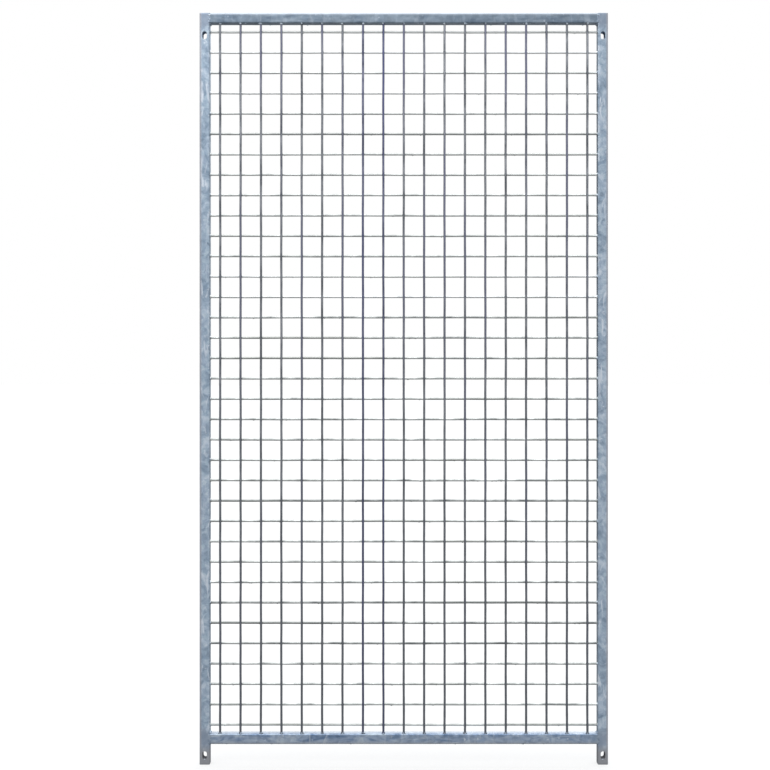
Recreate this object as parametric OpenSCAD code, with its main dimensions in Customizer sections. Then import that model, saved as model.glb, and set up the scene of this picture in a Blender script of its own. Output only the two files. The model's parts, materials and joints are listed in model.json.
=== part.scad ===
// Framed wire-mesh gate leaf: a square-tube frame on two feet, filled with a
// welded 50 mm mesh of round wires, hot-dip galvanised after welding.
// Front is -Y, up is +Z, and the origin is midway between the feet at their base.

/* [Frame] */
// Overall width across the two stiles
gate_w = 1000; // [500:50:1000]
// Overall height from the feet to the top of the stiles
gate_h = 1840; // [840:50:1840]
// Outside width of the square frame tube
tube_w = 25; // [25:1:40]
// Wall thickness of the frame tube
tube_t = 1.5; // [1.2:0.1:2.5]
// Outside corner radius of the frame tube
tube_r = 2.5; // [2:0.1:3]
// Height of the foot that each stile forms below the bottom rail
foot_h = 50; // [45:1:100]

/* [Fixing slots] */
// Width of a bolt slot
slot_w = 11; // [9:0.5:13]
// Length of a bolt slot, end to end
slot_l = 19; // [16:1:26]
// Depth of the upper slot's centre below the top of the stile
top_slot_drop = 55; // [50:1:100]
// Height of the lower slot's centre above the foot
foot_slot_rise = 23; // [18:1:30]

/* [Mesh] */
// Distance from one wire to the next, both ways
mesh_pitch = 50; // [50:5:100]
// Diameter of the mesh wire with its zinc coat
wire_d = 5.6; // [3:0.1:6]
// Least distance from the frame to the centre line of the first wire
edge_gap = 15; // [10:1:20]
// Depth of the vertical wires' centre line behind the frame's front face
mesh_setback = 5.8; // [4:0.5:12]

/* [Welds and vents] */
// Radius of the beads along the front and back of a corner joint
seam_r = 3; // [2.5:0.1:4]
// Height of a seam bead above the tube's face
seam_crown = 0.8; // [0.4:0.1:1.2]
// Leg of the fillet bead in an inside corner
fillet_leg = 3.5; // [2:0.5:5]
// Width of the bead round the end of a wire
tack_w = 1.4; // [0.8:0.1:2]
// Height of the bead round the end of a wire
tack_h = 2; // [1:0.1:3]
// Diameter of the hidden vent from each rail into the stile
vent_d = 10; // [8:1:12]

/* [Hidden] */
$fn = 48;
cut_past = 1; // how far a cutting tool runs past the face it cuts

tube_half = tube_w / 2;
stile_x = gate_w / 2 - tube_half; // centre line of a stile
opening_w = gate_w - 2 * tube_w;
opening_h = gate_h - foot_h - 2 * tube_w;
opening_base = foot_h + tube_w; // top face of the bottom rail
bottom_rail_z = foot_h + tube_half;
top_rail_z = gate_h - tube_half;

// The mesh is centred in the opening, with as many wires as its pitch allows.
vertical_count = floor((opening_w - 2 * edge_gap) / mesh_pitch) + 1;
horizontal_count = floor((opening_h - 2 * edge_gap) / mesh_pitch) + 1;
first_wire_x = -(vertical_count - 1) * mesh_pitch / 2;
first_wire_z = opening_base + (opening_h - (horizontal_count - 1) * mesh_pitch) / 2;
vertical_wire_y = -tube_half + mesh_setback;
horizontal_wire_y = vertical_wire_y + wire_d; // resting against the vertical wires

function two_digits(n) = str(n < 10 ? "0" : "", n);
function vertical_name(n) = str("vertical_wire_", two_digits(n));
function horizontal_name(n) = str("horizontal_wire_", two_digits(n));
function wire_x(n) = first_wire_x + (n - 1) * mesh_pitch;
function wire_z(n) = first_wire_z + (n - 1) * mesh_pitch;

// Square with rounded corners, centred.
module rounded_square(side, r) {
    square([side, side - 2 * r], center = true);
    square([side - 2 * r, side], center = true);
    for (sx = [-1, 1], sy = [-1, 1])
        translate([sx * (side / 2 - r), sy * (side / 2 - r)]) circle(r = r);
}

// Outer form of a length of frame tube, standing on z = 0.
module tube_form(length) {
    linear_extrude(length) rounded_square(tube_w, tube_r);
}

// Open-ended length of frame tube, standing on z = 0.
module square_tube(length) {
    linear_extrude(length) difference() {
        rounded_square(tube_w, tube_r);
        rounded_square(tube_w - 2 * tube_t, tube_r - tube_t);
    }
}

// Upright cutter for a slot that runs through both walls of a stile, front to back.
module slot_cutter() {
    reach = tube_w + 2 * cut_past;
    straight = slot_l - slot_w;
    rotate([90, 0, 0]) {
        cube([slot_w, straight, reach], center = true);
        for (end = [-1, 1])
            translate([0, end * straight / 2, 0])
                cylinder(d = slot_w, h = reach, center = true);
    }
}

// Cutter for the vent in a stile's inner wall, behind the end of a rail.
module vent_cutter(side) {
    rotate([0, -90 * side, 0]) cylinder(d = vent_d, h = tube_half + cut_past);
}

// Stile on the left for side = -1 and on the right for side = 1.
module stile(side) {
    color([0.60, 0.66, 0.72])
        translate([side * stile_x, 0, 0])
            difference() {
                square_tube(gate_h);
                translate([0, 0, foot_slot_rise]) slot_cutter();
                translate([0, 0, gate_h - top_slot_drop]) slot_cutter();
                for (z = [bottom_rail_z, top_rail_z])
                    translate([0, 0, z]) vent_cutter(side);
            }
}

// Rail cut square to fit between the stiles.
module rail(z) {
    color([0.53, 0.59, 0.66])
        translate([-opening_w / 2, 0, z])
            rotate([0, 90, 0]) square_tube(opening_w);
}

module vertical_wire(n) {
    color([0.46, 0.47, 0.49])
        translate([wire_x(n), vertical_wire_y, opening_base])
            cylinder(d = wire_d, h = opening_h);
}

module horizontal_wire(n) {
    color([0.58, 0.58, 0.57])
        translate([-opening_w / 2, horizontal_wire_y, wire_z(n)])
            rotate([0, 90, 0]) cylinder(d = wire_d, h = opening_w);
}

// Cutter in the outer form of the stile and rail at a left-hand corner.
module joint_form(z) {
    translate([-stile_x, 0, z - tube_w]) tube_form(2 * tube_w);
    translate([-opening_w / 2, 0, z])
        rotate([0, 90, 0]) tube_form(tube_w);
}

// Round-ended bar along Z, centred, for a bead before it is cut to fit.
module bead_bar(length, r) {
    cylinder(r = r, h = length - 2 * r, center = true);
    for (end = [-1, 1]) translate([0, 0, end * (length / 2 - r)]) sphere(r = r);
}

// Bead that fills the groove between stile and rail on the front (face = -1) or back.
module seam_bead(z, face) {
    off_seam = 1; // the bead sits more over the stile's rounded edge than over the rail
    difference() {
        translate([-opening_w / 2 - off_seam, face * (tube_half + seam_crown - seam_r), z])
            bead_bar(tube_w - tube_r, seam_r);
        joint_form(z);
    }
}

// Quarter-round bead across the tube where a rail's face at height z meets the stile.
module fillet_bead(z, up) {
    depth = tube_w - 2 * tube_r;
    translate([-opening_w / 2, 0, z])
        intersection() {
            rotate([90, 0, 0]) cylinder(r = fillet_leg, h = depth, center = true);
            translate([0, -tube_half, up > 0 ? 0 : -tube_w]) cube([tube_w, tube_w, tube_w]);
        }
}

// Low bead over the joint at the top, where the stile's cut end and the rail are level.
module top_bead() {
    bead_r = 2.5;
    crown = 0.6;
    depth = tube_w - 2 * tube_r;
    translate([-opening_w / 2, 0, gate_h])
        intersection() {
            translate([0, 0, crown - bead_r])
                rotate([90, 0, 0]) cylinder(r = bead_r, h = depth, center = true);
            translate([-tube_w / 2, -tube_half, 0]) cube([tube_w, tube_w, tube_w]);
        }
}

// The four passes of weld round each corner joint, mirrored to the right.
module corner_welds() {
    color([0.66, 0.68, 0.70])
        for (mirrored = [0, 1])
            mirror([mirrored, 0, 0]) {
                for (z = [bottom_rail_z, top_rail_z], face = [-1, 1]) seam_bead(z, face);
                fillet_bead(foot_h, -1);
                fillet_bead(opening_base, 1);
                fillet_bead(gate_h - tube_w, -1);
                top_bead();
            }
}

// Ring of weld round a wire that stands on z = 0.
module tack() {
    rotate_extrude()
        polygon([[wire_d / 2, 0], [wire_d / 2 + tack_w, 0], [wire_d / 2, tack_h]]);
}

// The tacks that join both ends of every wire to the frame.
module mesh_welds() {
    color([0.66, 0.68, 0.70]) {
        for (n = [1:vertical_count])
            translate([wire_x(n), vertical_wire_y, opening_base]) {
                tack();
                translate([0, 0, opening_h]) mirror([0, 0, 1]) tack();
            }
        for (n = [1:horizontal_count], side = [-1, 1])
            translate([side * opening_w / 2, horizontal_wire_y, wire_z(n)])
                rotate([0, -90 * side, 0]) tack();
    }
}

stile(-1);  // left_stile
stile(1);  // right_stile
rail(top_rail_z);  // top_rail
rail(bottom_rail_z);  // bottom_rail
for (n = [1:vertical_count])
    vertical_wire(n);
for (n = [1:horizontal_count])
    horizontal_wire(n);
corner_welds();
mesh_welds();
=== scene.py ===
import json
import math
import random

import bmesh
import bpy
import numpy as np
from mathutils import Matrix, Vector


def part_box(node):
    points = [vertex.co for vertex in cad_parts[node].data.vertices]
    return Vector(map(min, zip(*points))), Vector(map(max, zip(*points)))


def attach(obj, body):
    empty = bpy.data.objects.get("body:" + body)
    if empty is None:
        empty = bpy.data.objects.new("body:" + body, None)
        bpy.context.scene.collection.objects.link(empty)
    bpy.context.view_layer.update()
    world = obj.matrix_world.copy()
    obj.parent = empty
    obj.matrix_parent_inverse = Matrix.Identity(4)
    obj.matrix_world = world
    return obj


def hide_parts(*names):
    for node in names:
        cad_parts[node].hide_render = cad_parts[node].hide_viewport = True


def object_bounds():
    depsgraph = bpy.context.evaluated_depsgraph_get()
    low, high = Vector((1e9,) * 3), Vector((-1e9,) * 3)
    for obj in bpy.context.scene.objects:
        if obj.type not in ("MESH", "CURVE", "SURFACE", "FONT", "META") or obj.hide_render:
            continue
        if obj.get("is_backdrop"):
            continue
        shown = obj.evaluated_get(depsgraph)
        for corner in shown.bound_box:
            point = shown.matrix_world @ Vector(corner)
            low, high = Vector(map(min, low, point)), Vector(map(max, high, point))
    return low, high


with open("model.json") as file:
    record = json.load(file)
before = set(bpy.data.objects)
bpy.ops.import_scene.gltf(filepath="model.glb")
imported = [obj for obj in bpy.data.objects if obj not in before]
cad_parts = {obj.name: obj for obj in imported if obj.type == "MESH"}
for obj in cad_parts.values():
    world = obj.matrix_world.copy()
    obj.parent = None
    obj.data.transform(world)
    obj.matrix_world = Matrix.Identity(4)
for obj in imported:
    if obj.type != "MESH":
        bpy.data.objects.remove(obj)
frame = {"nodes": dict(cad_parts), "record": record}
CAD_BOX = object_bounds()

# %% [markdown]
# # A hot-dip galvanised gate leaf
# The real leaf is four lengths of square steel tube and 54 straight wires, welded together black and
# then sunk whole into a bath of molten zinc. Nearly everything the eye picks up comes from that bath:
# the zinc rounds every edge, fills every crossing of the wires with a small web, freezes into
# crystals and pale runs on the flats, and hangs in drips where it drained.
# So each piece is built here as bare steel first, and then gets its skin of zinc as real geometry.
# Lengths are in metres, and MM is one millimetre.

MM = 0.001
SEED = 1840


def report(text):
    print("[gate]", text)


report(f"frame loaded with {len(frame['nodes'])} nodes")

# %% [markdown]
# ## Places, read off the frame
# Every place comes from the steel that the frame already holds. The two stiles and two rails give the
# faces of the opening, and each wire's box gives its centre line. Reading them here keeps this
# script right if the leaf is made in another size.

# %% The opening and the centre lines of the wires
STILES = ["left_stile", "right_stile"]
RAILS = ["bottom_rail", "top_rail"]
VERTICALS = sorted(n for n in frame["nodes"] if n.startswith("vertical_wire_"))
HORIZONTALS = sorted(n for n in frame["nodes"] if n.startswith("horizontal_wire_"))


def middle(node):
    low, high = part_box(node)
    return (low + high) / 2


STILE_X = [middle(n).x for n in STILES]
RAIL_Z = [middle(n).z for n in RAILS]
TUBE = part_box("left_stile")[1].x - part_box("left_stile")[0].x
HALF = TUBE / 2
GATE_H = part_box("left_stile")[1].z
OPEN_X = STILE_X[1] - HALF
OPEN_Z = [RAIL_Z[0] + HALF, RAIL_Z[1] - HALF]
FOOT_H = RAIL_Z[0] - HALF

WIRE_X = np.array([middle(n).x for n in VERTICALS])
WIRE_Z = np.array([middle(n).z for n in HORIZONTALS])
VERTICAL_Y = middle(VERTICALS[0]).y
HORIZONTAL_Y = middle(HORIZONTALS[0]).y
WIRE_R = (HORIZONTAL_Y - VERTICAL_Y) / 2

SLOT_MOUNT = next(m for m in frame["record"]["mounts"] if m["name"] == "left_slots")
SLOT_R = SLOT_MOUNT["dims"]["hole_r_mm"] * MM
SLOT_L = SLOT_MOUNT["dims"]["slot_length_mm"] * MM
SLOT_APART = SLOT_MOUNT["dims"]["spacing_y_mm"] * MM
SLOT_Z = [SLOT_MOUNT["pos_m"][2] + s * SLOT_APART / 2 for s in (-1, 1)]
report(f"opening {2 * OPEN_X:.3f} x {OPEN_Z[1] - OPEN_Z[0]:.3f} m, wire radius {WIRE_R / MM:.2f} mm")

# %% [markdown]
# ## Lumps that repeat every time
# Zinc is never even. A sum of a few sine waves in random directions gives a smooth lumpy field
# that costs almost nothing on a large mesh, and a seeded generator gives the same lumps each run.
# A noise texture on a displace modifier would do too, but this one can also steer a radius or a width.


# %% Smooth lumps of a given size
def lumps(points, size, seed, waves=9):
    """Smooth values of about -1 to 1 at the points, with lumps about size across."""
    dice = np.random.RandomState(seed)
    directions = dice.normal(size=(waves, 3))
    directions /= np.linalg.norm(directions, axis=1)[:, None]
    lengths = size * dice.uniform(1.4, 3.2, waves)
    phases = dice.uniform(0, 2 * math.pi, waves)
    turns = points @ (directions / lengths[:, None]).T * 2 * math.pi + phases
    return np.sin(turns).sum(axis=-1) / math.sqrt(waves)


spread = lumps(np.random.RandomState(SEED).uniform(0, 1, (2000, 3)), 10 * MM, SEED)
report(f"lumps run from {spread.min():.2f} to {spread.max():.2f}")

# %% [markdown]
# ## From rings to a mesh
# A tube, a wire, a bead of weld and a drip are all a row of rings joined by a skin of quads. One
# function makes that skin from rings of equal count. It closes the ends with caps, or joins the last
# ring to the first where the piece is hollow. Every skin is closed, so its faces can all be turned
# outward afterwards, whichever way round its rings were laid.


# %% Skins of quads
def skin_faces(count, sides, hollow=False):
    """Quads between count rings of so many sides each, as rows of four indexes."""
    ring = np.arange(count if hollow else count - 1)
    side = np.arange(sides)
    a = ring[:, None] * sides + side[None, :]
    b = ring[:, None] * sides + (side[None, :] + 1) % sides
    up = sides
    total = count * sides
    quads = np.stack([a, b, (b + up) % total, (a + up) % total], axis=-1).reshape(-1, 4)
    return quads.tolist()


STEEL_CREASE = 35
SOFT_CREASE = 60


def make_piece(name, points, faces, crease=STEEL_CREASE):
    """A smooth-shaded object from points and faces. Edges sharper than crease degrees stay sharp."""
    mesh = bpy.data.meshes.new(name)
    mesh.from_pydata(np.asarray(points, float).reshape(-1, 3).tolist(), [], faces)
    shape = bmesh.new()
    shape.from_mesh(mesh)
    bmesh.ops.recalc_face_normals(shape, faces=shape.faces)
    shape.to_mesh(mesh)
    shape.free()
    mesh.shade_smooth()
    mesh.set_sharp_from_angle(angle=math.radians(crease))
    piece = bpy.data.objects.new(name, mesh)
    bpy.context.scene.collection.objects.link(piece)
    return piece


def skin(rings, hollow=False):
    """Points and faces of one closed skin over rings of shape (count, sides, 3)."""
    count, sides = rings.shape[:2]
    faces = skin_faces(count, sides, hollow)
    if not hollow:
        last = (count - 1) * sides
        faces.append(list(range(sides - 1, -1, -1)))
        faces.append(list(range(last, last + sides)))
    return rings.reshape(-1, 3), faces


def weld_together(parts):
    """One list of points and one of faces from several (points, faces)."""
    points, faces, start = [], [], 0
    for some_points, some_faces in parts:
        points.append(some_points)
        faces.extend([[i + start for i in face] for face in some_faces])
        start += len(some_points)
    return np.concatenate(points), faces


report(f"{len(skin_faces(2, 4))} quads join two rings of four points")

# %% [markdown]
# ## The finish: zinc
# **Hot-dip galvanised steel.** Molten zinc at 450 degrees leaves a coat about 0.08 mm thick. It freezes
# into flat crystals called spangle, 5 to 15 mm across on tube, each tilted a little differently, so each
# is a slightly different blue-grey. Where the zinc ran off last it is thicker and paler. In a few weeks
# outdoors the bright metal dulls to a satin. So the finish is a pure metal (metallic 1, and the IOR is
# left alone), roughness about 0.4, and all its interest is in colour patches and tiny relief.
#
# The patterns use object coordinates scaled to millimetres, so every size below is a real one.


# %% Colours and node wiring
def steel_colour(hex_code):
    """An sRGB hex code as the linear colour that a shader wants."""
    parts = [int(hex_code[i : i + 2], 16) / 255 for i in (0, 2, 4)]
    linear = [p / 12.92 if p <= 0.04045 else ((p + 0.055) / 1.055) ** 2.4 for p in parts]
    return (*linear, 1.0)


def add_node(tree, kind, settings=None, **inputs):
    """Adds a node, sets its properties, and links or sets its inputs by name (spaces as _) or by
    number (as i0). A colour ramp's stops are (place, hex code or grey level)."""
    node = tree.nodes.new(kind)
    for key, value in (settings or {}).items():
        if key == "stops":
            steps = node.color_ramp.elements
            while len(steps) < len(value):
                steps.new(0.5)
            for step, (place, colour) in zip(steps, value):
                step.position = place
                step.color = steel_colour(colour) if isinstance(colour, str) else (colour,) * 3 + (1,)
        else:
            setattr(node, key, value)
    for key, value in inputs.items():
        place = int(key[1:]) if key[0] == "i" and key[1:].isdigit() else key.replace("_", " ")
        socket = node.inputs[place]
        if isinstance(value, bpy.types.NodeSocket):
            tree.links.new(value, socket)
        else:
            socket.default_value = value
    return node


# A colour mix takes its share at input 0, the coat below at 6, the coat above at 7, and gives output 2.
COATS = {"data_type": "RGBA"}
COATS_OVERLAY = {"data_type": "RGBA", "blend_type": "OVERLAY"}
COATS_MULTIPLY = {"data_type": "RGBA", "blend_type": "MULTIPLY"}


def start_finish(name):
    """A material with its tree, its main shader, and coordinates in millimetres."""
    material = bpy.data.materials.new(name)
    material.use_nodes = True
    tree = material.node_tree
    shader = tree.nodes["Principled BSDF"]
    place = add_node(tree, "ShaderNodeTexCoord").outputs["Object"]
    in_mm = add_node(tree, "ShaderNodeMapping", Vector=place, Scale=(1 / MM,) * 3)
    return material, tree, shader, in_mm.outputs["Vector"]


report(f"sRGB 808080 is {steel_colour('808080')[0]:.3f} in linear light")


# %% Galvanised tube
JOINT_REACH = 50.0
FOOT_GREY = "A0A1A6"


def joint_distance(tree, place, ragged):
    """How far a place is from the nearest corner joint, 0 at the joint and 1 at JOINT_REACH mm, with
    the edge made ragged."""
    side = add_node(tree, "ShaderNodeMath", {"operation": "ABSOLUTE"}, i0=place.outputs["X"])
    corner = add_node(tree, "ShaderNodeCombineXYZ", X=side.outputs["Value"], Z=place.outputs["Z"])
    far = []
    for joint_z in RAIL_Z:
        away = add_node(
            tree,
            "ShaderNodeVectorMath",
            {"operation": "DISTANCE"},
            i0=corner.outputs["Vector"],
            i1=(STILE_X[1] / MM, 0.0, joint_z / MM),
        )
        far.append(away.outputs["Value"])
    nearest = add_node(tree, "ShaderNodeMath", {"operation": "MINIMUM"}, i0=far[0], i1=far[1])
    share = add_node(
        tree, "ShaderNodeMath", {"operation": "DIVIDE"}, i0=nearest.outputs["Value"], i1=JOINT_REACH
    )
    shift = add_node(tree, "ShaderNodeMath", {"operation": "SUBTRACT"}, i0=ragged, i1=0.5)
    total = add_node(
        tree,
        "ShaderNodeMath",
        {"operation": "ADD"},
        i0=share.outputs["Value"],
        i1=shift.outputs["Value"],
    )
    return total.outputs["Value"]


def band(tree, place, limits):
    """How far a place is inside a band, 0 to 1. Each of limits is (axis, mm where it starts, mm where
    it is full), and X is measured out from the middle of the leaf."""
    share = 1.0
    for axis, start, full in limits:
        along = place.outputs[axis]
        if axis == "X":
            outward = add_node(tree, "ShaderNodeMath", {"operation": "ABSOLUTE"}, i0=along)
            along = outward.outputs["Value"]
        rise = add_node(tree, "ShaderNodeMapRange", Value=along, From_Min=start, From_Max=full)
        step = add_node(
            tree, "ShaderNodeMath", {"operation": "MULTIPLY"}, i0=share, i1=rise.outputs["Result"]
        )
        share = step.outputs["Value"]
    return share


def tube_zinc(name, dark, mid, pale, run, patch, lean, amount, joint, bands):
    """Spangled zinc on tube, with clouds of patch mm along x, y and z. The runs lean from the
    upright by lean degrees and show by amount. joint is the tone beside the welds. bands holds
    (limits, tone, share) for each edge or face painted in another tone, some of them painted light."""
    material, tree, shader, mm = start_finish(name)
    # Clouds: where the coat cooled sooner it is darker and bluer.
    wide = add_node(tree, "ShaderNodeMapping", Vector=mm, Scale=[1 / size for size in patch])
    cloud = add_node(
        tree,
        "ShaderNodeTexNoise",
        Vector=wide.outputs["Vector"],
        Scale=1.0,
        Detail=5,
        Roughness=0.62,
        Distortion=1.2,
    ).outputs["Fac"]
    cloud_tones = [(0.34, dark), (0.5, mid), (0.66, pale)]
    clouds = add_node(tree, "ShaderNodeValToRGB", {"stops": cloud_tones}, Fac=cloud).outputs["Color"]
    # Spangle 9 mm across, each crystal a step lighter or darker.
    bend = add_node(tree, "ShaderNodeTexNoise", Vector=mm, Scale=1 / 6, Detail=2).outputs["Color"]
    shifted = add_node(
        tree, "ShaderNodeVectorMath", {"operation": "MULTIPLY_ADD"}, i0=bend, i1=(5, 5, 5), i2=mm
    ).outputs["Vector"]
    crystal = add_node(tree, "ShaderNodeTexVoronoi", Vector=shifted, Scale=1 / 9)
    tone = add_node(
        tree, "ShaderNodeValToRGB", {"stops": [(0.0, 0.40), (1.0, 0.62)]}, Fac=crystal.outputs["Color"]
    ).outputs["Color"]
    spangled = add_node(tree, "ShaderNodeMix", COATS_OVERLAY, i0=0.75, i6=clouds, i7=tone).outputs[2]
    # Pale runs 14 mm apart, four times as long, where the zinc drained last.
    turned = add_node(
        tree,
        "ShaderNodeMapping",
        Vector=mm,
        Rotation=(0, math.radians(lean), 0),
        Scale=(1 / 14, 1 / 14, 1 / 50),
    ).outputs["Vector"]
    streak = add_node(
        tree, "ShaderNodeTexNoise", Vector=turned, Scale=1, Detail=4, Roughness=0.55, Distortion=0.8
    ).outputs["Fac"]
    streaks = add_node(
        tree, "ShaderNodeValToRGB", {"stops": [(0.56, 0.0), (0.68, amount)]}, Fac=streak
    ).outputs["Color"]
    run_colour = steel_colour(run)
    coat = add_node(tree, "ShaderNodeMix", COATS, i0=streaks, i6=spangled, i7=run_colour).outputs[2]
    # Small bright flecks 6 mm across, where dross touched the steel.
    fleck = add_node(tree, "ShaderNodeTexNoise", Vector=mm, Scale=1 / 11, Detail=1).outputs["Fac"]
    flecks = add_node(
        tree, "ShaderNodeValToRGB", {"stops": [(0.70, 0.0), (0.76, 0.8)]}, Fac=fleck
    ).outputs["Color"]
    coat = add_node(tree, "ShaderNodeMix", COATS, i0=flecks, i6=coat, i7=run_colour).outputs[2]
    # Within 30 mm of a joint, the steel that the weld heated took a duller coat.
    place = add_node(tree, "ShaderNodeSeparateXYZ", Vector=mm)
    away = joint_distance(tree, place, cloud)
    heated = add_node(
        tree, "ShaderNodeValToRGB", {"stops": [(0.30, 0.85), (0.62, 0.0)]}, Fac=away
    ).outputs["Color"]
    coat = add_node(tree, "ShaderNodeMix", COATS, i0=heated, i6=coat, i7=steel_colour(joint)).outputs[2]
    # Bands of another tone: painted light on the bottom rail's top face, a painted highlight of the
    # sky along the top rail's upper edge, and a plainer grey along the stiles' outer edges and the
    # bottom rail's lower edge.
    for limits, edge_tone, share in bands:
        inside = band(tree, place, limits)
        strength = add_node(tree, "ShaderNodeMath", {"operation": "MULTIPLY"}, i0=inside, i1=share)
        coat = add_node(
            tree,
            "ShaderNodeMix",
            COATS,
            i0=strength.outputs["Value"],
            i6=coat,
            i7=steel_colour(edge_tone),
        ).outputs[2]
    # The feet stood in the wet, and weathered to a plain grey.
    foot = add_node(tree, "ShaderNodeMapRange", Value=place.outputs["Z"], To_Min=1.0, To_Max=0.0)
    foot.inputs["From Min"].default_value = 0.6 * FOOT_H / MM
    foot.inputs["From Max"].default_value = FOOT_H / MM
    damp, foot_grey = foot.outputs["Result"], steel_colour(FOOT_GREY)
    coat = add_node(tree, "ShaderNodeMix", COATS, i0=damp, i6=coat, i7=foot_grey).outputs[2]
    tree.links.new(coat, shader.inputs["Base Color"])
    shader.inputs["Metallic"].default_value = 1.0
    gloss = add_node(
        tree, "ShaderNodeMapRange", Value=crystal.outputs["Distance"], To_Min=0.36, To_Max=0.50
    ).outputs["Result"]
    tree.links.new(gloss, shader.inputs["Roughness"])
    # Relief: lumps 5 mm across and a fine skin 1 mm across, both a few hundredths of a mm high.
    wave = add_node(tree, "ShaderNodeTexNoise", Vector=mm, Scale=1 / 5, Detail=3).outputs["Fac"]
    grit = add_node(tree, "ShaderNodeTexNoise", Vector=mm, Scale=1.0, Detail=2).outputs["Fac"]
    low = add_node(tree, "ShaderNodeBump", Height=wave, Strength=0.5, Distance=0.25 * MM)
    fine = add_node(
        tree, "ShaderNodeBump", Height=grit, Strength=0.35, Distance=0.04 * MM, Normal=low.outputs[0]
    )
    tree.links.new(fine.outputs["Normal"], shader.inputs["Normal"])
    return material


OUTER_EDGE = [("X", STILE_X[1] / MM + 6.5, STILE_X[1] / MM + 9.5)]
# Painted light: a pale band over the bottom rail's top face, paler towards the back, as the sky overhead
# lights it.
PAINTED_LIGHT_TOP_FACE = [("Z", OPEN_Z[0] / MM - 1.6, OPEN_Z[0] / MM - 0.3), ("Y", -11.0, 11.0)]
LOWER_EDGE = [("Z", FOOT_H / MM + 10.0, FOOT_H / MM)]
# Painted highlight: a pale band along the top rail's upper edge, the sky seen in its rounded corner.
PAINTED_HIGHLIGHT_UPPER_EDGE = [("Z", GATE_H / MM - 7.0, GATE_H / MM - 1.0)]
STILE_ZINC = tube_zinc(
    "galvanised_stile_zinc",
    *("8B9DB0", "A6B7C8", "C3D0DE", "D8E0EA"),
    patch=(30, 30, 30),
    lean=20,
    amount=1.0,
    joint="929EAF",
    bands=[(OUTER_EDGE, "ABABB2", 0.75)],
)
BOTTOM_ZINC = tube_zinc(
    "galvanised_bottom_rail_zinc",
    *("667C9A", "92A2B8", "B0BCC9", "D0D7DF"),
    patch=(60, 30, 18),
    lean=80,
    amount=0.4,
    joint="8B9BAE",
    # The pale top face is painted light.
    bands=[(PAINTED_LIGHT_TOP_FACE, "CDD2D7", 0.9), (LOWER_EDGE, "B0B1B4", 0.6)],
)
TOP_ZINC = tube_zinc(
    "galvanised_top_rail_zinc",
    *("6C7B8C", "818F9E", "95A2AF", "B6C0CB"),
    patch=(90, 30, 30),
    lean=85,
    amount=0.35,
    joint="7E8D9C",
    # The pale upper edge is a painted highlight.
    bands=[(PAINTED_HIGHLIGHT_UPPER_EDGE, "CBD3DC", 0.7)],
)
report("tube zinc mixed")


# %% Galvanised wire and zinc over weld
def wire_zinc(name, dark, mid, pale, tint, along):
    """Dull zinc on drawn wire. Its tones change along the wire, and from one wire to the next."""
    material, tree, shader, mm = start_finish(name)
    # Tones 40 mm long, so that a wire changes from one mesh to the next.
    tone = add_node(
        tree, "ShaderNodeTexNoise", Vector=mm, Scale=1 / 40, Detail=4, Roughness=0.6
    ).outputs["Fac"]
    tones = add_node(
        tree, "ShaderNodeValToRGB", {"stops": [(0.36, dark), (0.5, mid), (0.66, pale)]}, Fac=tone
    ).outputs["Color"]
    # Stretches of half a metre, different on each wire because the wires are 50 mm apart.
    stretch = [1 / 500 if axis == along else 1 / 45 for axis in "xyz"]
    long_way = add_node(tree, "ShaderNodeMapping", Vector=mm, Scale=stretch)
    batch = add_node(
        tree, "ShaderNodeTexNoise", Vector=long_way.outputs["Vector"], Scale=1, Detail=1
    ).outputs["Fac"]
    tinted = add_node(
        tree, "ShaderNodeValToRGB", {"stops": [(0.50, 0.0), (0.64, 0.85)]}, Fac=batch
    ).outputs["Color"]
    coat = add_node(tree, "ShaderNodeMix", COATS, i0=tinted, i6=tones, i7=steel_colour(tint)).outputs[2]
    # Painted shade and light by height: the upright wires are painted darker towards the bottom, and
    # the level wires paler towards the top, as the bright sky overhead would light them.
    place = add_node(tree, "ShaderNodeSeparateXYZ", Vector=mm)
    height = OPEN_Z[1] / MM
    if along == "z":
        share, height_light_and_shade_tone = band(tree, place, [("Z", 0.9 * height, 0.0)]), steel_colour(dark)
    else:
        share, height_light_and_shade_tone = band(tree, place, [("Z", 0.6 * height, 1.1 * height)]), steel_colour(pale)
    coat = add_node(tree, "ShaderNodeMix", COATS, i0=share, i6=coat, i7=height_light_and_shade_tone).outputs[2]
    tree.links.new(coat, shader.inputs["Base Color"])
    shader.inputs["Metallic"].default_value = 1.0
    gloss = add_node(tree, "ShaderNodeMapRange", Value=tone, To_Min=0.50, To_Max=0.34)
    tree.links.new(gloss.outputs["Result"], shader.inputs["Roughness"])
    # Relief: drawn and dipped wire is slightly orange-peeled, 2 mm across.
    peel = add_node(tree, "ShaderNodeTexNoise", Vector=mm, Scale=1 / 2, Detail=3).outputs["Fac"]
    bump = add_node(tree, "ShaderNodeBump", Height=peel, Strength=0.25, Distance=0.06 * MM)
    tree.links.new(bump.outputs["Normal"], shader.inputs["Normal"])
    return material


def weld_zinc(name, dark, pale):
    """Thick zinc over a bead of weld: brighter, rougher, and pitted where spatter was."""
    material, tree, shader, mm = start_finish(name)
    patch = add_node(tree, "ShaderNodeTexNoise", Vector=mm, Scale=1 / 5, Detail=4).outputs["Fac"]
    coat = add_node(
        tree, "ShaderNodeValToRGB", {"stops": [(0.38, dark), (0.62, pale)]}, Fac=patch
    ).outputs["Color"]
    tree.links.new(coat, shader.inputs["Base Color"])
    shader.inputs["Metallic"].default_value = 1.0
    gloss = add_node(tree, "ShaderNodeMapRange", Value=patch, To_Min=0.48, To_Max=0.34)
    tree.links.new(gloss.outputs["Result"], shader.inputs["Roughness"])
    pits = add_node(tree, "ShaderNodeTexNoise", Vector=mm, Scale=1 / 1.2, Detail=3).outputs["Fac"]
    bump = add_node(tree, "ShaderNodeBump", Height=pits, Strength=0.6, Distance=0.12 * MM)
    tree.links.new(bump.outputs["Normal"], shader.inputs["Normal"])
    return material
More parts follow.
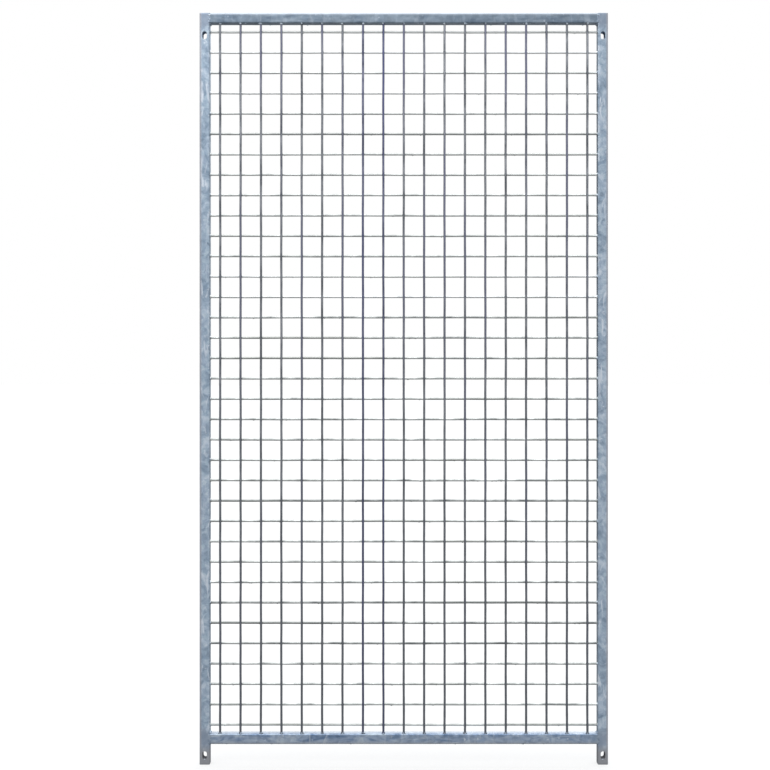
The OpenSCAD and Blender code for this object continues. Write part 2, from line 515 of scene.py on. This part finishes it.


# The upright and level wires are one and the same zinc. The upright wires are painted darker as
# painted shade, and the level wires paler as painted light from the bright sky that their tops face.
# Two upright wires are a violet tone, a few level wires very pale and a few dull, and these level
# ones are still painted paler than the upright wires.
SHADED_UPRIGHT_WIRE_ZINC = wire_zinc("galvanised_upright_wire_zinc_painted_shade", "6A6D73", "8B8E94", "AAACB2", "828399", "z")
VIOLET_ZINC = wire_zinc("galvanised_violet_wire_zinc", "5A5D72", "74778E", "9294AA", "676A90", "z")
LIT_LEVEL_WIRE_ZINC = wire_zinc("galvanised_level_wire_zinc_painted_light", "969998", "BEC1BF", "E2E4E2", "A0A29E", "x")
PALE_LEVEL_ZINC = wire_zinc("galvanised_pale_wire_zinc", "C2C4C4", "DCDEDE", "F0F1F1", "D2D4D0", "x")
DULL_LEVEL_ZINC = wire_zinc("galvanised_dull_wire_zinc", "777A7A", "9B9E9D", "BEC0BE", "828583", "x")
WELD_ZINC = weld_zinc("galvanised_weld_zinc", "A4B0BE", "D4DCE4")
SEAM_ZINC = weld_zinc("galvanised_seam_zinc", "8492A4", "A6B2C0")
# The tacks along the bottom rail take a darker copy of the weld zinc: painted shadow of the wires on the
# rail's top face.
SHADOWED_LOWER_TACK_ZINC = weld_zinc("galvanised_lower_weld_zinc_painted_shadow", "5E6874", "8A96A4")
report("wire and weld zinc mixed")

# %% [markdown]
# ## Frame tubes
# Square tube is rolled from strip, so its corners are arcs and its walls are a steady 1.5 mm. The
# frame's own tubes are right in size but coarse at the corners and slots. Each is built again
# from rings of a rounded square, up the outside and back down the bore, so that it is hollow
# and open ended like the real one. The zinc then draws some of the outside in by up to 0.15 mm,
# which never makes the tube larger than the steel. The slots are cut afterwards with a cutter whose
# lips flare, because zinc rounds a punched edge.

# %% Sizes of the tube
WALL = 1.5 * MM
CORNER_R = 2.5 * MM
LIP = 0.5 * MM
ZINC_DIP = 0.15 * MM
RING_STEP = 6 * MM
BORE_RING = 60 * MM
ARC_STEPS = 5
SIDE_STEPS = 7
LEAST_ARC_R = 0.6 * MM
report(f"tube {TUBE / MM:.1f} mm square with {WALL / MM:.1f} mm walls")


# %% Rings of a rounded square
def rounded_square(inset):
    """Points round the tube's outline, drawn in by inset, as (across, depth)."""
    r = max(CORNER_R - inset, LEAST_ARC_R)
    reach = HALF - inset - r
    centres = np.array([(1, 1), (-1, 1), (-1, -1), (1, -1)]) * reach
    points = []
    for quarter in range(4):
        angles = (quarter + np.arange(ARC_STEPS + 1) / ARC_STEPS) * math.pi / 2
        arc = np.stack([np.cos(angles), np.sin(angles)], axis=1) * r
        points.append(centres[quarter] + arc)
        share = np.arange(1, SIDE_STEPS)[:, None] / SIDE_STEPS
        nearer = centres[quarter] * (1 - share)
        points.append(nearer + centres[(quarter + 1) % 4] * share + arc[-1])
    return np.concatenate(points)


def tube_rings(length):
    """Rings of a hollow tube along its own length, as (ring, point, (across, depth, along))."""
    lip = [(0.0, LIP), (0.13 * LIP, 0.5 * LIP), (0.5 * LIP, 0.13 * LIP), (LIP, 0.0)]
    middles = np.arange(RING_STEP, length - RING_STEP / 2, RING_STEP)
    outside = lip + [(w, 0.0) for w in middles] + [(length - w, i) for w, i in lip[::-1]]
    bore = [(length - w, WALL - i) for w, i in lip]
    bore += [(w, WALL) for w in (length - BORE_RING, length / 2, BORE_RING)]
    bore += [(w, WALL - i) for w, i in lip[::-1]]
    rings = []
    for along, inset in outside + bore:
        outline = rounded_square(inset)
        rings.append(np.column_stack([outline, np.full(len(outline), along)]))
    return np.array(rings), len(outside)


report(f"{len(rounded_square(0))} points round a tube")


# %% A tube with its skin of zinc
def frame_tube(name, seed, upright):
    """One tube of the frame over its CAD node's box, with the zinc's gentle lumps on the outside."""
    low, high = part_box(name)
    length = (high.z - low.z) if upright else (high.x - low.x)
    rings, outer = tube_rings(length)
    across, depth, along = rings[..., 0], rings[..., 1], rings[..., 2]
    centre = middle(name)
    if upright:
        points = np.stack([centre.x + across, centre.y + depth, low.z + along], axis=-1)
    else:
        points = np.stack([low.x + along, centre.y + across, centre.z + depth], axis=-1)
    # Wide lumps and narrow ones draw the outside in, and leave the tube's length as it is.
    swell = 0.65 * lumps(points[:outer], 26 * MM, seed) + 0.35 * lumps(points[:outer], 7 * MM, seed + 1)
    dip = ZINC_DIP * np.clip(0.5 - 0.35 * swell, 0, 1)[..., None]
    axis_point = points[:outer].mean(axis=1, keepdims=True)
    inward = axis_point - points[:outer]
    inward /= np.linalg.norm(inward, axis=-1, keepdims=True)
    points[:outer] += inward * dip
    return make_piece(name + "_steel", *skin(points, hollow=True))


tubes = {n: frame_tube(n, SEED + 10 * k, n in STILES) for k, n in enumerate(STILES + RAILS)}
report(f"{len(tubes)} tubes of about {len(tubes['left_stile'].data.polygons)} faces each")

# %% [markdown]
# ## Bolt slots
# Each stile has two upright slots punched through its front and back walls. A boolean cut with a
# slot-shaped bar is the plain way, and exact here because bar and tube are both closed. The bar is
# wider where it meets each face, so that the cut leaves a soft lip.

# %% The slot cutter
SLOT_POINTS = 40
SLOT_LIP = 0.3 * MM
BAR_PAST = 3 * MM


def slot_outline(grow):
    """Points round an upright slot, as (across, up), larger by grow all round."""
    angles = np.arange(SLOT_POINTS) / SLOT_POINTS * 2 * math.pi
    up = np.where(np.sin(angles) >= 0, 1, -1) * (SLOT_L / 2 - SLOT_R)
    r = SLOT_R + grow
    return np.stack([r * np.cos(angles), r * np.sin(angles) + up], axis=1)


def slot_bar(x, z):
    """A bar through the stile at x and z, flared at both faces."""
    flare = [(HALF + BAR_PAST, SLOT_LIP), (HALF, SLOT_LIP), (HALF - 0.15 * SLOT_LIP, 0.5 * SLOT_LIP)]
    flare += [(HALF - 0.5 * SLOT_LIP, 0.15 * SLOT_LIP), (HALF - SLOT_LIP, 0.0)]
    rings = []
    for y, grow in [(-y, g) for y, g in flare] + flare[::-1]:
        outline = slot_outline(grow)
        rings.append(np.column_stack([x + outline[:, 0], np.full(SLOT_POINTS, y), z + outline[:, 1]]))
    return make_piece("slot_bar", *skin(np.array(rings)))


def cut_slots(stile, x):
    """Cuts both slots through a stile, and removes the cutters."""
    for z in SLOT_Z:
        bar = slot_bar(x, z)
        cut = stile.modifiers.new("slot", "BOOLEAN")
        cut.operation = "DIFFERENCE"
        cut.solver = "EXACT"
        cut.object = bar
        bpy.context.view_layer.update()
        evaluated = stile.evaluated_get(bpy.context.evaluated_depsgraph_get())
        mesh = bpy.data.meshes.new_from_object(evaluated)
        stile.modifiers.clear()
        stile.data = mesh
        bpy.data.objects.remove(bar)
    stile.data.shade_smooth()
    stile.data.set_sharp_from_angle(angle=math.radians(STEEL_CREASE))
    return len(stile.data.polygons)


for name, x in zip(STILES, STILE_X):
    report(f"{name} has {cut_slots(tubes[name], x)} faces with its slots")

# %% [markdown]
# ## Wires that melt into each other
# The mesh is spot welded: each vertical wire lies in front of the horizontal ones and touches every
# one of them. Zinc then fills the sharp gap round each touch with a small curved web. A boolean of 665
# crossings would give hard creases, so each wire is a row of rings whose points are pushed out
# to a smooth union of this wire, the wire that crosses it, and the frame at its ends. Both wires of a
# crossing follow the same rule, so their skins meet in one web. Drips hang under the horizontal
# wires in the same way, as small balls that take part in the union.

# %% Sizes of the mesh
WIRE_SIDES = 12
WIRE_SWAY = 0.25 * MM
GROW_MAX = 1.9 * MM
CROSS_OFFSETS = np.array([-8.4, -5.6, -3.9, -2.3, -0.8, 0.8, 2.3, 3.9, 5.6, 8.4]) * MM
END_OFFSETS = np.array([0, 0.7, 1.6, 2.9, 4.8, 8]) * MM
DRIP_OFFSETS = np.array([-1.8, -1.0, -0.4, 0.4, 1.0, 1.8]) * MM
LEAST_RING_GAP = 0.3 * MM
UNEVEN = 0.025
END_BLEND = (3.6, 5.6)
DRIP_R = (0.8, 1.25)
DRIP_BLEND = 1.6 * MM
HALVINGS = 9
report(f"{len(WIRE_X)} upright and {len(WIRE_Z)} level wires, {2 * WIRE_R / MM:.1f} mm thick")


# %% The sway of a wire and the web at a crossing
SWAY_LENGTHS = np.array([0.9, 0.33, 0.14])
SWAY_DICE = np.random.RandomState(SEED + 2)
VERTICAL_SWAY = SWAY_DICE.uniform(0, 2 * math.pi, (len(VERTICALS), 2, 3))
HORIZONTAL_SWAY = SWAY_DICE.uniform(0, 2 * math.pi, (len(HORIZONTALS), 2, 3))


def sway(phases, along):
    """Offsets of a wire's centre line at the places along it, sideways and in depth."""
    turns = np.asarray(along)[..., None, None] / SWAY_LENGTHS * 2 * math.pi + phases
    offsets = np.sin(turns).sum(axis=-1) * WIRE_SWAY / 2
    return offsets[..., 0], offsets[..., 1] * 0.3


def vertical_line(column, z):
    """Centre line (x, y) of the vertical wire in a column, at the heights z."""
    dx, dy = sway(VERTICAL_SWAY[column], z)
    return np.stack([WIRE_X[column] + dx, VERTICAL_Y + dy], axis=-1)


def horizontal_line(row, x):
    """Centre line (y, z) of the horizontal wire in a row, at the places x."""
    dz, dy = sway(HORIZONTAL_SWAY[row], x)
    return np.stack([HORIZONTAL_Y + dy, WIRE_Z[row] + dz], axis=-1)


WEB_SIZE = np.random.RandomState(SEED + 3).uniform(1.6, 4.0, (len(WIRE_X), len(WIRE_Z))) * MM


def smooth_union(a, b, blend):
    """Distance to two shapes melted together over a width of blend."""
    near = np.maximum(blend - np.abs(a - b), 0) / blend
    return np.minimum(a, b) - near * near * blend / 4


def push_out(base, outward, others):
    """Grows each point of a wire along outward until it lies on the union with the others.

    others holds (distance function, blend) pairs."""
    low = np.zeros(base.shape[:-1])
    high = np.full(base.shape[:-1], GROW_MAX)
    for _ in range(HALVINGS):
        grow = (low + high) / 2
        point = base + outward * grow[..., None]
        shape = grow
        for distance, blend in others:
            shape = smooth_union(shape, distance(point), blend)
        inside = shape < 0
        low = np.where(inside, grow, low)
        high = np.where(inside, high, grow)
    return base + outward * high[..., None]


report(f"{WEB_SIZE.size} webs, {WEB_SIZE.min() / MM:.1f} to {WEB_SIZE.max() / MM:.1f} mm of blend")


# %% Rings of one wire
def stations(low, high, crossings, drips):
    """Places along a wire where it needs a ring."""
    places = [low + END_OFFSETS, high - END_OFFSETS]
    places += [c + CROSS_OFFSETS for c in crossings]
    places += [d + DRIP_OFFSETS for d in drips]
    inner = (crossings[1:] + crossings[:-1]) / 2
    places += [inner, inner - 10 * MM, inner + 10 * MM]
    found = np.unique(np.round(np.concatenate(places), 5))
    found = found[(found >= low) & (found <= high)]
    keep = np.concatenate([[True], np.diff(found) > LEAST_RING_GAP])
    keep[-1] = True
    return found[keep]


def wire_piece(name, upright, index, seed):
    """A wire as one skin of rings, with its webs, its end flares and its drips."""
    dice = np.random.RandomState(seed)
    crossings = WIRE_Z if upright else WIRE_X
    low, high = OPEN_Z if upright else (-OPEN_X, OPEN_X)
    # About one mesh in five kept a drip under its horizontal wire.
    count = 0 if upright else int(dice.randint(2, 7))
    drips = np.sort(dice.uniform(low + 0.03, high - 0.03, count))
    along = stations(low, high, crossings, drips)
    angles = (np.arange(WIRE_SIDES) + 0.5) / WIRE_SIDES * 2 * math.pi
    circle = np.stack([np.cos(angles), np.sin(angles)], axis=1)
    s = np.repeat(along[:, None], WIRE_SIDES, axis=1)
    spread = np.broadcast_to(circle, s.shape + (2,))
    if upright:
        centre = np.concatenate([vertical_line(index, s), s[..., None]], axis=-1)
        outward = np.stack([spread[..., 0], spread[..., 1], 0 * s], axis=-1)
    else:
        centre = np.concatenate([s[..., None], horizontal_line(index, s)], axis=-1)
        outward = np.stack([0 * s, spread[..., 0], spread[..., 1]], axis=-1)
    uneven = 1 + UNEVEN * lumps(centre + outward * WIRE_R, 9 * MM, seed)
    base = centre + outward * (WIRE_R * uneven)[..., None]
    nearest = np.abs(along[:, None] - crossings[None, :]).argmin(axis=1)
    web = (WEB_SIZE[index, nearest] if upright else WEB_SIZE[nearest, index])[:, None]

    if upright:
        partner = horizontal_line(nearest, WIRE_X[index])[:, None, :]
    else:
        partner = vertical_line(nearest, WIRE_Z[index])[:, None, :]

    def to_crossing_wire(point):
        away = (point[..., 1:] if upright else point[..., :2]) - partner
        return np.linalg.norm(away, axis=-1) - WIRE_R

    def to_frame(point):
        place = point[..., 2] if upright else point[..., 0]
        return np.minimum(place - low, high - place)

    others = [(to_crossing_wire, web), (to_frame, dice.uniform(*END_BLEND) * MM)]
    for drip in drips:
        ball_r = dice.uniform(*DRIP_R) * MM
        y, z = horizontal_line(index, drip)
        ball = np.array([drip, y, z - WIRE_R - 0.35 * ball_r])

        def to_drip(point, ball=ball, ball_r=ball_r):
            return np.linalg.norm(point - ball, axis=-1) - ball_r

        others.append((to_drip, DRIP_BLEND))
    return make_piece(name + "_zinc", *skin(push_out(base, outward, others)), crease=SOFT_CREASE)


wires = {n: wire_piece(n, True, k, SEED + 300 + k) for k, n in enumerate(VERTICALS)}
wires.update({n: wire_piece(n, False, k, SEED + 400 + k) for k, n in enumerate(HORIZONTALS)})
report(f"{len(wires)} wires, {sum(len(w.data.polygons) for w in wires.values())} faces in all")

# %% [markdown]
# ## Tacks at the wire ends
# A welder runs down the opening and puts one tack on each of the 108 wire ends. The tack
# sits on the frame's inner face, to the front of a vertical wire, where the torch can reach, and a
# large one flows over the tube's front edge. Each is a squashed ball with lumps, so no two are alike.

# %% Lumpy tacks
TACK_RINGS = 9
TACK_SIDES = 14
TACK_POLE = 0.06
TACK_LUMPS = 0.13
RAIL_TACK_R = (3.7, 3.1, 3.1)
STILE_TACK_R = (2.1, 3.9, 3.2)


def tack(place, radii, seed):
    """A closed lump at place with radii along x, y and z."""
    dice = np.random.RandomState(seed)
    tilt = np.linspace(TACK_POLE, math.pi - TACK_POLE, TACK_RINGS)[:, None]
    turn = np.arange(TACK_SIDES)[None, :] / TACK_SIDES * 2 * math.pi
    ball = np.stack(
        [np.sin(tilt) * np.cos(turn), np.sin(tilt) * np.sin(turn), np.cos(tilt) + 0 * turn], axis=-1
    )
    bumpy = 1 + TACK_LUMPS * lumps(ball + dice.uniform(0, 50, 3), 0.7, seed)
    return skin(np.array(place) + ball * bumpy[..., None] * np.array(radii))


def rail_tacks(z, seed):
    """The tacks of all the upright wires along one rail's face at height z."""
    dice = random.Random(seed)
    made = []
    for k, x in enumerate(WIRE_X):
        size = dice.uniform(0.8, 1.3)
        forward = dice.uniform(1.6, 2.6) * MM
        wide, deep, tall = RAIL_TACK_R
        radii = (wide * MM * size, deep * MM, tall * MM * size)
        made.append(tack((x + dice.uniform(-1, 1) * MM, VERTICAL_Y - forward, z), radii, seed + k))
    return weld_together(made)


def stile_tacks(seed):
    """The tacks of all the level wires along both stiles."""
    dice = random.Random(seed)
    made = []
    for k, z in enumerate(WIRE_Z):
        for x in (-OPEN_X, OPEN_X):
            size = dice.uniform(0.75, 1.25)
            forward = dice.uniform(0.4, 3.6) * MM
            wide, deep, tall = STILE_TACK_R
            radii = (wide * MM * size, deep * MM, tall * MM * size)
            place = (x, HORIZONTAL_Y - forward, z + dice.uniform(-1, 1) * MM)
            made.append(tack(place, radii, seed + k))
    return weld_together(made)


lower_tacks = make_piece("lower_wire_tacks", *rail_tacks(OPEN_Z[0], SEED + 500), crease=SOFT_CREASE)
upper_tacks = make_piece("upper_wire_tacks", *rail_tacks(OPEN_Z[1], SEED + 540), crease=SOFT_CREASE)
side_tacks = make_piece("side_wire_tacks", *stile_tacks(SEED + 580), crease=SOFT_CREASE)
report(f"108 tacks, {sum(len(t.data.polygons) for t in (lower_tacks, upper_tacks, side_tacks))} faces")

# %% [markdown]
# ## Beads at the corner joints
# Each rail is closed on to the stile with a pass of weld down the front and the back, a fillet in each
# inside corner, and one over the top. A bead laid by hand shows ripples about 1.3 mm apart that bow
# back from the direction of travel, it swells and narrows, and it ends in a rounded crater. A strip
# that follows the seam, with its height worked out at each point, gives all three.

# %% Beads of weld
RIPPLE = 1.3 * MM
SEAM_W = 6.5 * MM
SEAM_CROWN = 0.5 * MM
SEAM_SINK = 1.6 * MM
FILLET_LEG = 4.0 * MM
TOP_CROWN = 0.5 * MM
DAB_DROP = 5.5 * MM
DAB_R = (3.6 * MM, 1.2 * MM, 2.6 * MM)
SEAM_OUT = 1.0 * MM
SEAM_END = 1.0 * MM
SEAM_UNDER_DAB = 3.6 * MM
BEAD_COLUMNS = 13
LEAST_ROWS = 12


def bead(start, travel, across, out, length, width, crown, seed):
    """A rippled strip of weld, from start along travel. Its height is along out."""
    rows = max(LEAST_ROWS, int(length / (RIPPLE / 4)))
    t = np.linspace(0, 1, rows)[:, None]
    u = np.linspace(-1, 1, BEAD_COLUMNS)[None, :]
    end = np.sqrt(np.clip(1 - (2 * t - 1) ** 8, 0, 1))
    place = np.array(start) + np.array(travel) * (t * length)[..., None]
    uneven = 1 + 0.16 * lumps(place, 5 * MM, seed)
    half = width / 2 * uneven * (0.35 + 0.65 * end)
    ripple = np.sin((t * length + 0.9 * MM * u * u) / RIPPLE * 2 * math.pi)
    dome = np.sqrt(np.clip(1 - u * u, 0, 1))
    height = crown * uneven * end * dome * (0.86 + 0.14 * ripple)
    height = np.minimum(height, 1.03 * crown)
    side = place + np.array(across) * (half * u)[..., None]
    top = side + np.array(out) * height[..., None]
    under = side - np.array(out) * (SEAM_SINK * dome)[..., None]
    rings = np.concatenate([top, under[:, -2:0:-1]], axis=1)
    return skin(rings)


def corner_beads():
    """Front, back and top beads and the inside fillets of all four corners."""
    seams, fillets, dabs = [], [], []
    seed = SEED + 700
    depth = 2 * (HALF - CORNER_R)
    for side in (-1, 1):
        seam_x = side * (OPEN_X + SEAM_OUT)
        for z in RAIL_Z:
            for face in (-1, 1):
                seed += 1
                # The top joint was started with a dab, and the bead runs up to just below it.
                at_top = z == RAIL_Z[1]
                start = (seam_x, face * HALF, z - HALF + SEAM_END)
                length = TUBE - (DAB_DROP + SEAM_UNDER_DAB if at_top else 2 * SEAM_END)
                if at_top:
                    dab = (seam_x, face * (HALF - 0.5 * MM), GATE_H - DAB_DROP)
                    dabs.append(tack(dab, DAB_R, seed))
                seams.append(
                    bead(start, (0, 0, 1), (1, 0, 0), (0, face, 0), length, SEAM_W, SEAM_CROWN, seed)
                )
        start = (seam_x, -depth / 2, GATE_H)
        seams.append(bead(start, (0, 1, 0), (1, 0, 0), (0, 0, 1), depth, SEAM_W, TOP_CROWN, seed + 40))
        for z, up in ((FOOT_H, -1), (OPEN_Z[0], 1), (OPEN_Z[1], -1)):
            seed += 1
            lean = np.array([-side, 0, up]) / math.sqrt(2)
            along_face = np.array([side, 0, up]) / math.sqrt(2)
            start = np.array([side * OPEN_X, -depth / 2, z]) + lean * (0.35 * FILLET_LEG)
            width = FILLET_LEG * math.sqrt(2) * 1.05
            fillets.append(
                bead(start, (0, 1, 0), along_face, lean, depth, width, 0.35 * FILLET_LEG, seed)
            )
    return (
        make_piece("corner_seam_beads", *weld_together(seams), crease=SOFT_CREASE),
        make_piece("corner_fillet_beads", *weld_together(fillets), crease=SOFT_CREASE),
        make_piece("corner_dabs", *weld_together(dabs), crease=SOFT_CREASE),
    )


seam_beads, fillet_beads, corner_dabs = corner_beads()
report(f"corner beads, {len(seam_beads.data.polygons) + len(fillet_beads.data.polygons)} faces")

# %% [markdown]
# ## Drips where the zinc drained
# The leaf was lifted out of the bath at a slant, and the last zinc ran to the lower edges and froze
# there in small beads. They are real lumps that a hand feels, so they are shapes here and not paint.

# %% Beads of zinc along the lower edges
DRIP_COUNT = 26
FROM_STILE = 0.02


def edge_drips():
    """Frozen drips under the rails and round the feet."""
    dice = random.Random(SEED + 9)
    made = []
    for k in range(DRIP_COUNT):
        rail_low = RAIL_Z[k % 2] - HALF
        x = dice.uniform(-OPEN_X + FROM_STILE, OPEN_X - FROM_STILE)
        y = dice.choice([-1, 1]) * dice.uniform(8.0, 10.4) * MM
        size = dice.uniform(0.7, 1.5) * MM
        made.append(tack((x, y, rail_low), (size * 1.5, size * 1.2, size), SEED + 800 + k))
    for side, x in enumerate(STILE_X):
        for k, z in enumerate(SLOT_Z):
            lip_z = z - SLOT_L / 2 - 0.6 * MM
            place = (x + dice.uniform(-1, 1) * MM, -HALF + 0.1 * MM, lip_z)
            wide, tall = (4.5 * MM, 2.0 * MM) if (side, k) == (1, 1) else (2.4 * MM, 1.3 * MM)
            made.append(tack(place, (wide, 0.4 * MM, tall), SEED + 900 + 2 * side + k))
    return make_piece("zinc_drips", *weld_together(made), crease=SOFT_CREASE)


drips = edge_drips()
report(f"drips, {len(drips.data.polygons)} faces")

# %% [markdown]
# ## Joining it all to the frame
# Nothing on this leaf moves, so every piece rides on the one body. Each new piece takes a finish
# made here, and where it stands for a plain solid of the frame, that solid is hidden.

# %% Riding, replacing and finishing
TUBE_FINISH = {
    "left_stile": STILE_ZINC,
    "right_stile": STILE_ZINC,
    "bottom_rail": BOTTOM_ZINC,
    "top_rail": TOP_ZINC,
}
# Wires from other coils, counted from the left and from the bottom.
odd_wires = {n: VIOLET_ZINC for n in VERTICALS[7:9]}
odd_wires.update({HORIZONTALS[k]: PALE_LEVEL_ZINC for k in (21, 22, 31, 33)})
odd_wires.update({HORIZONTALS[k]: DULL_LEVEL_ZINC for k in (4, 5, 6, 11, 29)})


def fit(piece, finish):
    """Puts the finish on a piece and joins it to the leaf's one body."""
    piece.data.materials.clear()
    piece.data.materials.append(finish)
    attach(piece, "root")


for node, piece in tubes.items():
    fit(piece, TUBE_FINISH[node])
    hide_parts(node)
for node, piece in wires.items():
    # Upright wires take the darker copy, painted shade, and level wires the paler copy, painted light.
    usual = SHADED_UPRIGHT_WIRE_ZINC if node in VERTICALS else LIT_LEVEL_WIRE_ZINC
    fit(piece, odd_wires.get(node, usual))
    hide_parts(node)
for piece in (upper_tacks, side_tacks, corner_dabs, drips):
    fit(piece, WELD_ZINC)
for piece in (seam_beads, fillet_beads):
    fit(piece, SEAM_ZINC)
# The lower tacks take the darker copy, as painted shadow.
fit(lower_tacks, SHADOWED_LOWER_TACK_ZINC)
for piece in (lower_tacks, upper_tacks, side_tacks):
    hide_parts("mesh_welds")
for piece in (seam_beads, fillet_beads, corner_dabs):
    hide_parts("corner_welds")
report("all pieces joined")

# %% [markdown]
# ## Floor, light and camera
# The leaf stands on a plain white floor under an even studio sky, brighter above than at eye level and
# dark below, because metal shows nothing but what it reflects: the bright top gives the rails
# their pale upper edges, and the dark below draws their undersides. The floor is left
# out of the reflections, and the eye sees plain white behind.

# %% Floor
FLOOR_SIZE = 60.0
PAPER_GREY = 0.2
PAPER_GLOW = 0.70
floor_mesh = bpy.data.meshes.new("studio_floor")
corners = [(-1, -1), (1, -1), (1, 1), (-1, 1)]
floor_z = CAD_BOX[0].z
floor_points = [(x * FLOOR_SIZE / 2, y * FLOOR_SIZE / 2, floor_z) for x, y in corners]
floor_mesh.from_pydata(floor_points, [], [(0, 1, 2, 3)])
floor = bpy.data.objects.new("studio_floor", floor_mesh)
bpy.context.scene.collection.objects.link(floor)
paper = bpy.data.materials.new("white_paper_floor")
paper.use_nodes = True
paper_shader = paper.node_tree.nodes["Principled BSDF"]
paper_shader.inputs["Base Color"].default_value = (PAPER_GREY,) * 3 + (1.0,)
paper_shader.inputs["Roughness"].default_value = 0.9
paper_shader.inputs["Specular IOR Level"].default_value = 0.1
paper_shader.inputs["Emission Color"].default_value = steel_colour("FFFFFF")
paper_shader.inputs["Emission Strength"].default_value = PAPER_GLOW
floor_mesh.materials.append(paper)
floor.visible_glossy = False
floor.visible_diffuse = False
floor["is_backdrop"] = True
report(f"floor {FLOOR_SIZE:.0f} m across at a height of {floor_z / MM:.1f} mm")

# %% Sky of the studio
# Each step is (how high, how bright). How high is -1 straight down, 0 level and 1 straight up.
SKY_TOP = 2.4
BACK_CEILING = [(0.3, 1.25), (1.0, SKY_TOP)]
FRONT_CEILING = [(0.25, 0.70), (0.6, 1.2), (1.0, SKY_TOP)]
FRONT_SKY = [(-1.0, 0.2), (-0.55, 0.46), (-0.3, 0.82), (0.0, 0.66), *FRONT_CEILING]
BACK_RIGHT_SKY = [(-1.0, 0.3), (-0.3, 0.42), (-0.08, 0.45), (0.06, 0.55), (0.22, 0.5), *BACK_CEILING]
BACK_LEFT_SKY = [(-1.0, 0.3), (-0.3, 0.40), (-0.08, 0.1), (0.06, 0.12), (0.22, 0.10), *BACK_CEILING]
DAYLIGHT = (0.96, 0.98, 1.0, 1.0)
world = bpy.data.worlds.new("studio_sky")
bpy.context.scene.world = world
world.use_nodes = True
sky = world.node_tree
sky.nodes.clear()
direction = add_node(sky, "ShaderNodeTexCoord").outputs["Generated"]
look = add_node(sky, "ShaderNodeSeparateXYZ", Vector=direction)
how_high = add_node(sky, "ShaderNodeMapRange", Value=look.outputs["Z"], From_Min=-1.0, From_Max=1.0)
behind = add_node(sky, "ShaderNodeMapRange", Value=look.outputs["Y"], From_Min=-0.25, From_Max=0.25)
rightward = add_node(sky, "ShaderNodeMapRange", Value=look.outputs["X"], From_Min=-0.12, From_Max=0.12)


def sky_side(steps):
    """The glow of one side of the studio, from its steps of height and brightness."""
    stops = [((height + 1) / 2, glow / SKY_TOP) for height, glow in steps]
    return add_node(sky, "ShaderNodeValToRGB", {"stops": stops}, Fac=how_high.outputs["Result"])


front = sky_side(FRONT_SKY).outputs["Color"]
left = sky_side(BACK_LEFT_SKY).outputs["Color"]
right = sky_side(BACK_RIGHT_SKY).outputs["Color"]
to_right = rightward.outputs["Result"]
back = add_node(sky, "ShaderNodeMix", COATS, i0=to_right, i6=left, i7=right).outputs[2]
to_back = behind.outputs["Result"]
glow = add_node(sky, "ShaderNodeMix", COATS, i0=to_back, i6=front, i7=back).outputs[2]
tinted = add_node(sky, "ShaderNodeMix", COATS_MULTIPLY, i0=1.0, i6=glow, i7=DAYLIGHT).outputs[2]
lit = add_node(sky, "ShaderNodeBackground", Color=tinted, Strength=SKY_TOP)
seen = add_node(sky, "ShaderNodeBackground", Color=(1, 1, 1, 1), Strength=1.0)
eye = add_node(sky, "ShaderNodeLightPath").outputs["Is Camera Ray"]
both = add_node(
    sky, "ShaderNodeMixShader", i0=eye, i1=lit.outputs["Background"], i2=seen.outputs["Background"]
)
add_node(sky, "ShaderNodeOutputWorld", Surface=both.outputs["Shader"])
report(f"sky of {len(sky.nodes)} nodes, up to {SKY_TOP} bright overhead")


# %% Softboxes
def softbox(name, place, size, power, target=(0, 0, 0.92)):
    """A square soft light at place, turned to the leaf."""
    lamp = bpy.data.lights.new(name, "AREA")
    lamp.shape = "RECTANGLE"
    lamp.size, lamp.size_y = size
    lamp.energy = power
    light = bpy.data.objects.new(name, lamp)
    bpy.context.scene.collection.objects.link(light)
    light.location = place
    aim = np.array(target) - np.array(place)
    light.rotation_euler = Vector(aim).to_track_quat("-Z", "Y").to_euler()
    light.visible_camera = False
    return light


softbox("front_softbox", (-2.2, -4.2, 4.6), (4.0, 2.5), 60)
softbox("back_softbox", (1.6, 4.5, 3.8), (3.0, 2.0), 20)
report("softboxes of 60 W in front and 20 W behind")

# %% Camera
DISTANCE = 3.3
EYE_HEIGHT = 1.03
EYE_LEFT = 0.046
SHARE_OF_PICTURE = 0.9765
HORIZON_SHIFT = -0.0535
SENSOR_MM = 36.0
camera = bpy.data.objects.new("camera", bpy.data.cameras.new("camera"))
bpy.context.scene.collection.objects.link(camera)
camera.location = (-EYE_LEFT, -HALF - DISTANCE, EYE_HEIGHT)
camera.rotation_euler = (math.radians(90), 0, 0)
camera.data.sensor_width = SENSOR_MM
camera.data.lens = SENSOR_MM * SHARE_OF_PICTURE * DISTANCE / GATE_H
camera.data.shift_y = HORIZON_SHIFT
bpy.context.scene.camera = camera
bpy.context.scene.view_settings.view_transform = "Standard"
bpy.context.scene.view_settings.look = "None"
report(f"camera lens {camera.data.lens:.1f} mm")

# %% Size kept beside the CAD size
built_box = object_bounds()
sizes = {"cad": [list(c) for c in CAD_BOX], "visual": [list(c) for c in built_box]}
report(f"sizes {sizes}")
